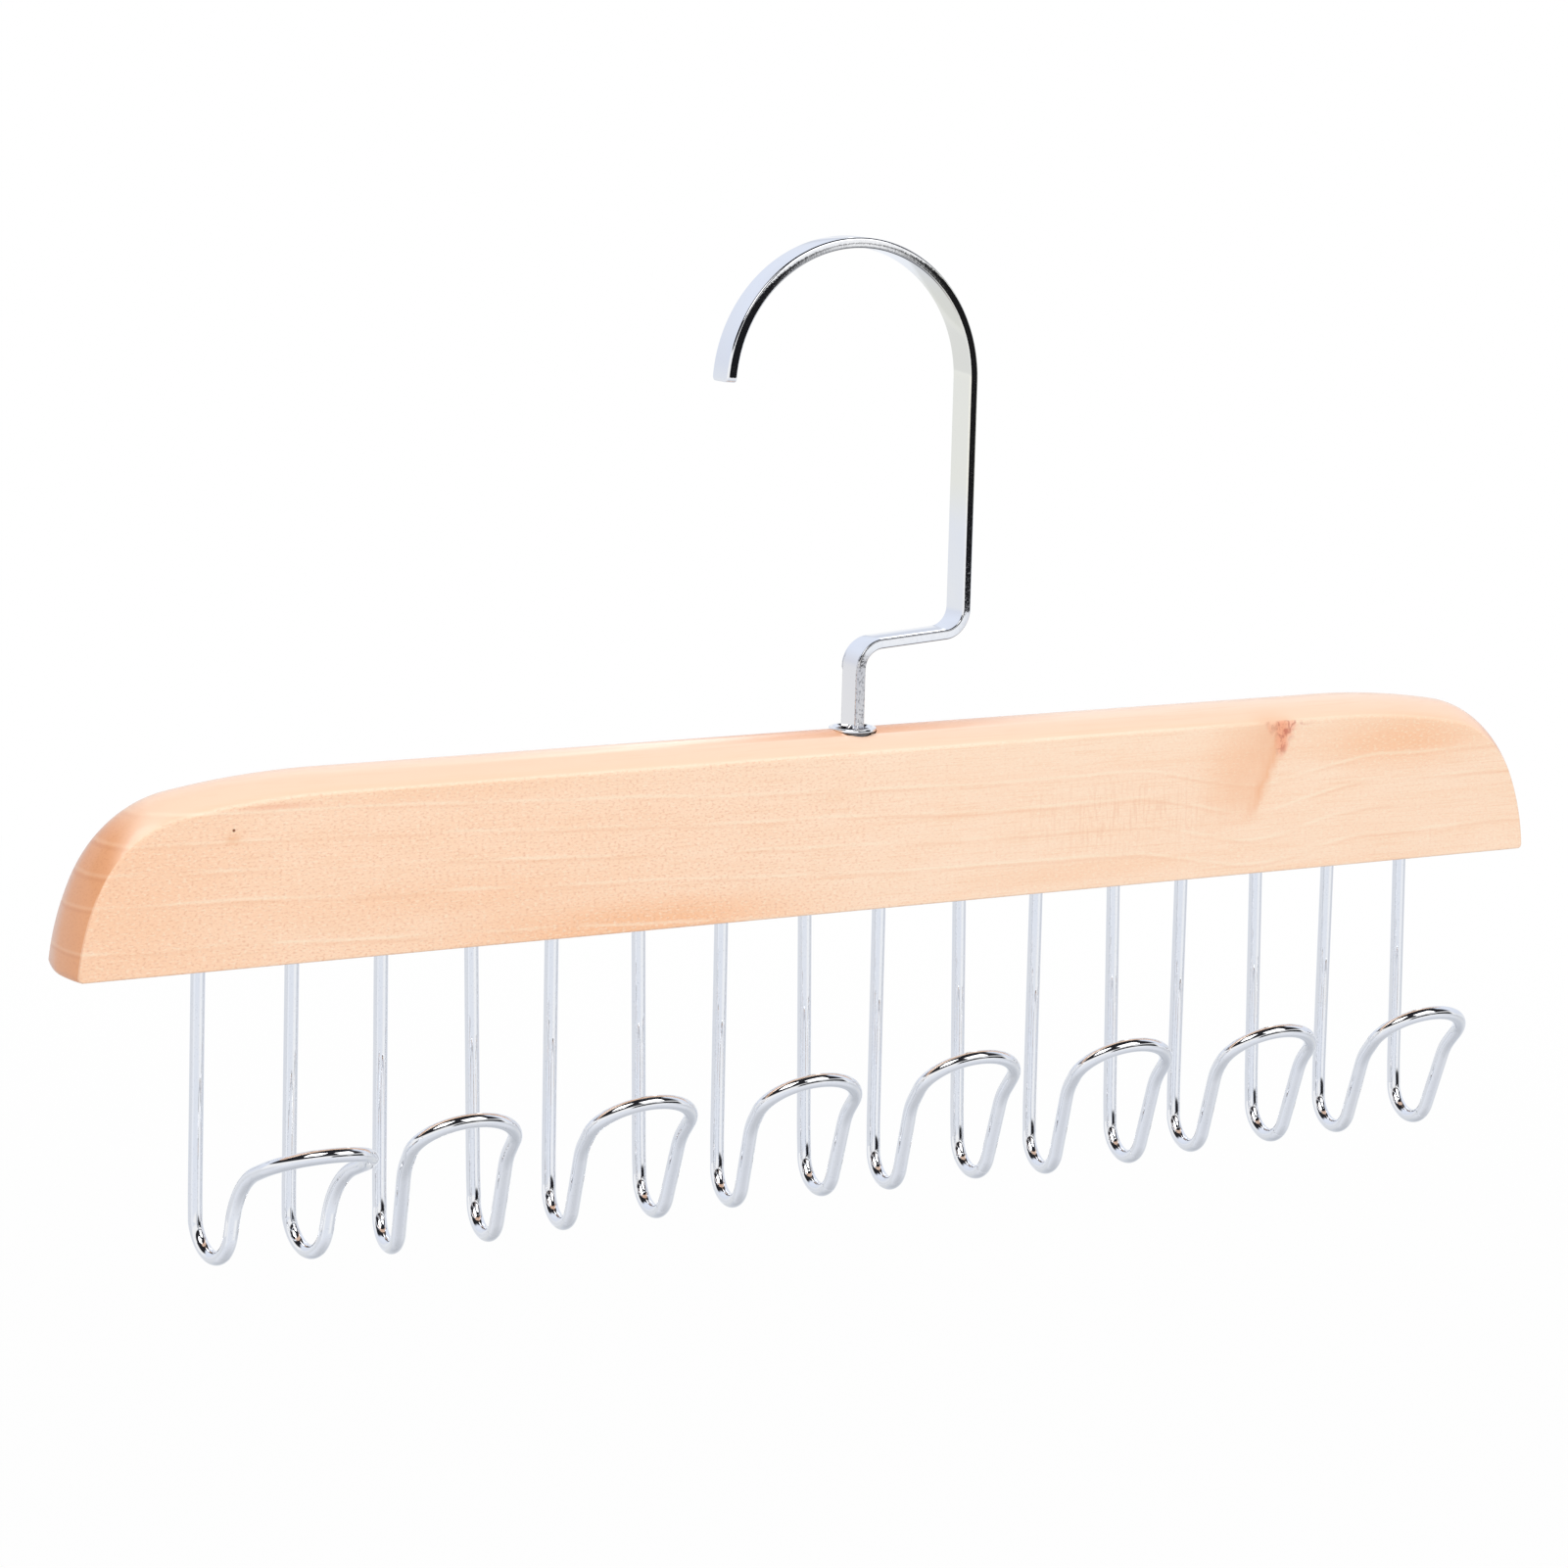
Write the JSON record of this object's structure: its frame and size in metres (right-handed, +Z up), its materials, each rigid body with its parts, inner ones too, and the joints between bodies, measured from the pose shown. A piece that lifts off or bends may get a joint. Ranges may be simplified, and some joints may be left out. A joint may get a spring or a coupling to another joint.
{
  "type": "belt hanger",
  "caption": "Wooden hanger bar with rounded ends, bent wire loops below for belts, and a flat metal hook on top that swivels.",
  "frame": {"origin": "middle of the inside top of the hook's crook, where the rail bears", "axes": "+X along the bar to the right as seen from the front, +Y towards the back, away from the loops' noses, +Z up"},
  "size_m": [0.3646, 0.0441, 0.2079],
  "materials": {
    "varnished_wood": "clear satin varnish",
    "chrome_plate": "bright plated",
    "zinc_plate": "dull plated"
  },
  "bodies": {
    "hook": {"hook": "chrome_plate"},
    "hanger": {"bar": "varnished_wood", "ferrule": "chrome_plate", "retaining_washer": "zinc_plate", "belt_loop_1": "chrome_plate", "belt_loop_2": "chrome_plate", "belt_loop_3": "chrome_plate", "belt_loop_4": "chrome_plate", "belt_loop_5": "chrome_plate", "belt_loop_6": "chrome_plate", "belt_loop_7": "chrome_plate", "belt_loop_8": "chrome_plate"}
  },
  "joints": [
    {"name": "hook_swivel", "type": "hinge", "parent": "hook", "child": "hanger", "pos_m": [0.0038, 0, -0.1033], "axis": [0, 0, 1], "continuous": true}
  ]
}
